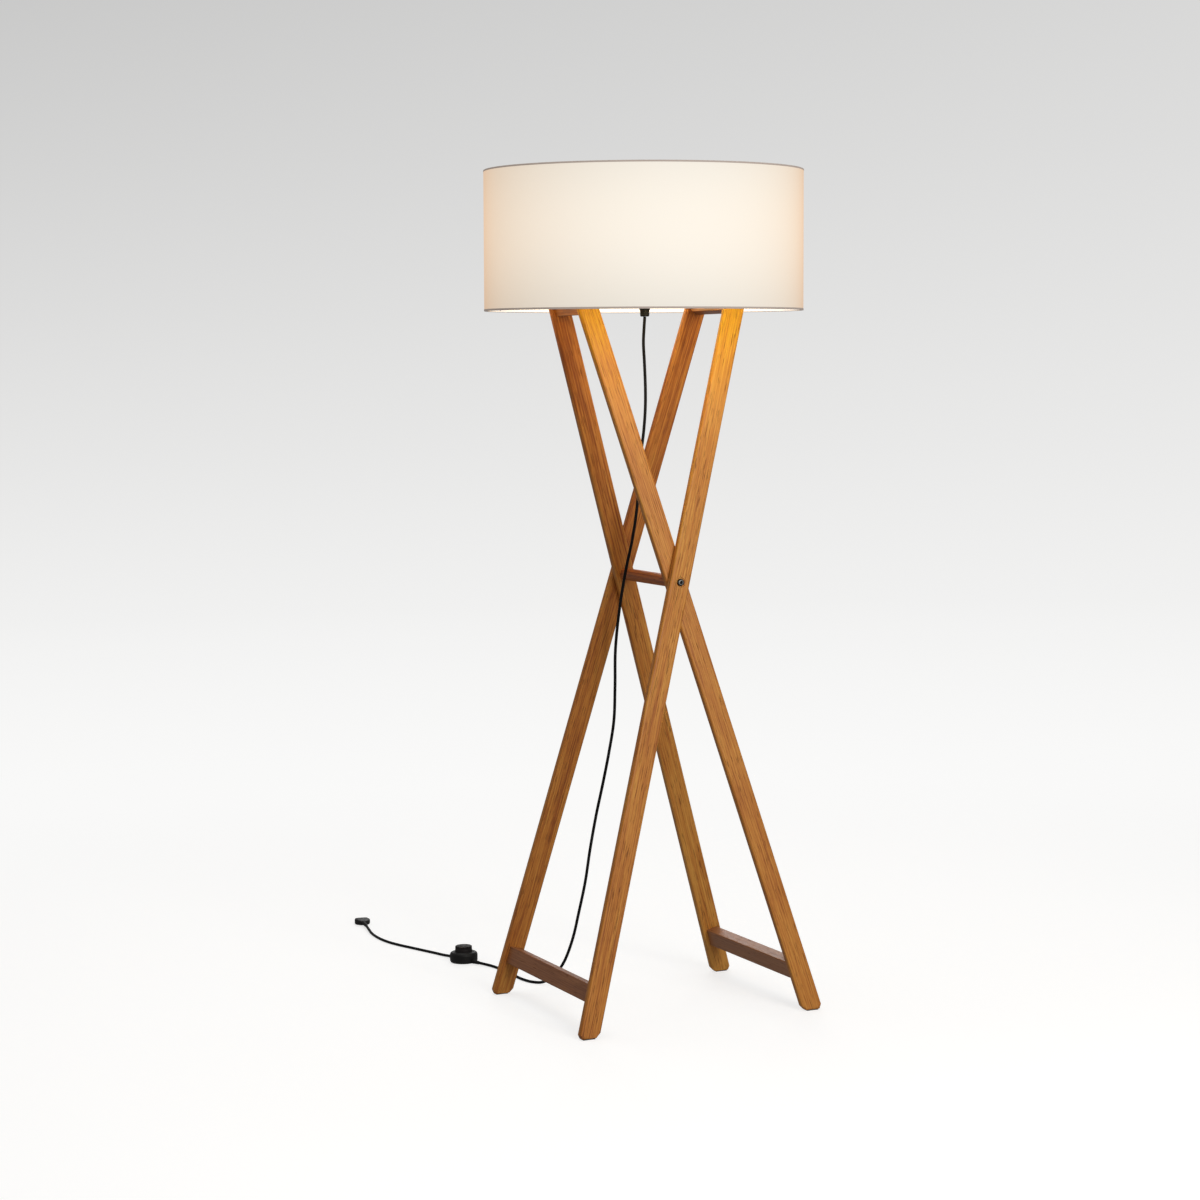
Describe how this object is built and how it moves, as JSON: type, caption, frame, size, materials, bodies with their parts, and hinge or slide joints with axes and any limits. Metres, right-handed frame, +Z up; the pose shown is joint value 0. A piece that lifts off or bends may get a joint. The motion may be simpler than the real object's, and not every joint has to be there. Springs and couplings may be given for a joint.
{
  "type": "trestle floor lamp",
  "caption": "Floor lamp on crossed wooden trestle frames that fold on a pivot, with a wide drum shade and a black lead with a round foot switch.",
  "frame": {"origin": "on the floor, under the middle of the shade", "axes": "+Z up; +X is the way the two frames spread; +Y runs along the pivot, towards the lead's switch and plug"},
  "size_m": [0.62, 1.371, 1.637],
  "materials": {
    "leg_wood": "oiled hardwood, satin",
    "rail_wood": "oiled hardwood, satin, darker",
    "bar_wood": "oiled hardwood, turned",
    "felt": "pressed felt",
    "black_metal": "satin black",
    "brass": "plain brass",
    "white_plastic": "moulded",
    "zinc_steel": "zinc plated",
    "black_plastic": "moulded, satin",
    "opal_glass": "opal, lit",
    "shade_fabric": "woven linen look on a stiff liner, lit from inside",
    "white_steel": "white powder coat",
    "lead_sheath": "smooth black sheath"
  },
  "bodies": {
    "outer_frame": {"outer_leg_front": "leg_wood", "outer_leg_back": "leg_wood", "outer_top_rail": "rail_wood", "outer_bottom_rail": "rail_wood", "outer_foot_pad_front": "felt", "outer_foot_pad_back": "felt", "plug_pin_left": "brass", "plug_pin_right": "brass", "switch_contact_block": "white_plastic", "switch_spring": "zinc_steel", "switch_base": "black_plastic", "switch_cover": "black_plastic", "switch_relief_inlet": "black_plastic", "switch_relief_outlet": "black_plastic", "plug_relief": "black_plastic", "plug_body": "black_plastic", "lead_to_switch": "lead_sheath", "lead_to_plug": "lead_sheath"},
    "inner_frame": {"inner_leg_front": "leg_wood", "inner_leg_back": "leg_wood", "inner_top_rail": "rail_wood", "inner_bottom_rail": "rail_wood", "inner_foot_pad_front": "felt", "inner_foot_pad_back": "felt", "pivot_spreader_bar": "bar_wood", "pivot_bolt_front": "black_metal", "pivot_bolt_back": "black_metal", "threaded_insert_front": "brass", "threaded_insert_back": "brass", "pivot_washer_front": "white_plastic", "pivot_washer_back": "white_plastic"},
    "lamp_head": {"head_carrier": "black_metal", "threaded_tube": "zinc_steel", "tube_nut_lower": "zinc_steel", "tube_nut_upper": "zinc_steel", "lead_gland": "black_plastic", "lampholder_base": "black_plastic", "lampholder_barrel": "black_plastic", "lampholder_terminal": "white_plastic", "shade_clamp_ring": "black_plastic", "bulb_cap": "zinc_steel", "bulb_envelope": "opal_glass", "shade_drum": "shade_fabric", "shade_ring_lower": "white_steel", "shade_ring_upper": "white_steel", "shade_centre_ring": "white_steel", "shade_spoke_1": "white_steel", "shade_spoke_2": "white_steel", "shade_spoke_3": "white_steel", "shade_spoke_4": "white_steel"},
    "foot_button": {"switch_button": "black_plastic"}
  },
  "joints": [
    {"name": "leg_fold", "type": "hinge", "parent": "outer_frame", "child": "inner_frame", "pos_m": [0, 0, 0.846], "axis": [0, 1, 0], "range_deg": [0, 28], "deforming": ["lead_to_switch"]},
    {"name": "head_lift", "type": "slide", "parent": "outer_frame", "child": "lamp_head", "axis": [0, 0, 1], "range_m": [0, 0.18]},
    {"name": "switch_press", "type": "slide", "parent": "outer_frame", "child": "foot_button", "axis": [0, 0, -1], "range_m": [0, 0.0035], "stiffness_N_per_m": 600, "springref_m": -0.003, "deforming": ["switch_spring"]}
  ],
  "couplings": [
    {"joint": "head_lift", "follows": "leg_fold", "m_per_rad": 0.36}
  ]
}
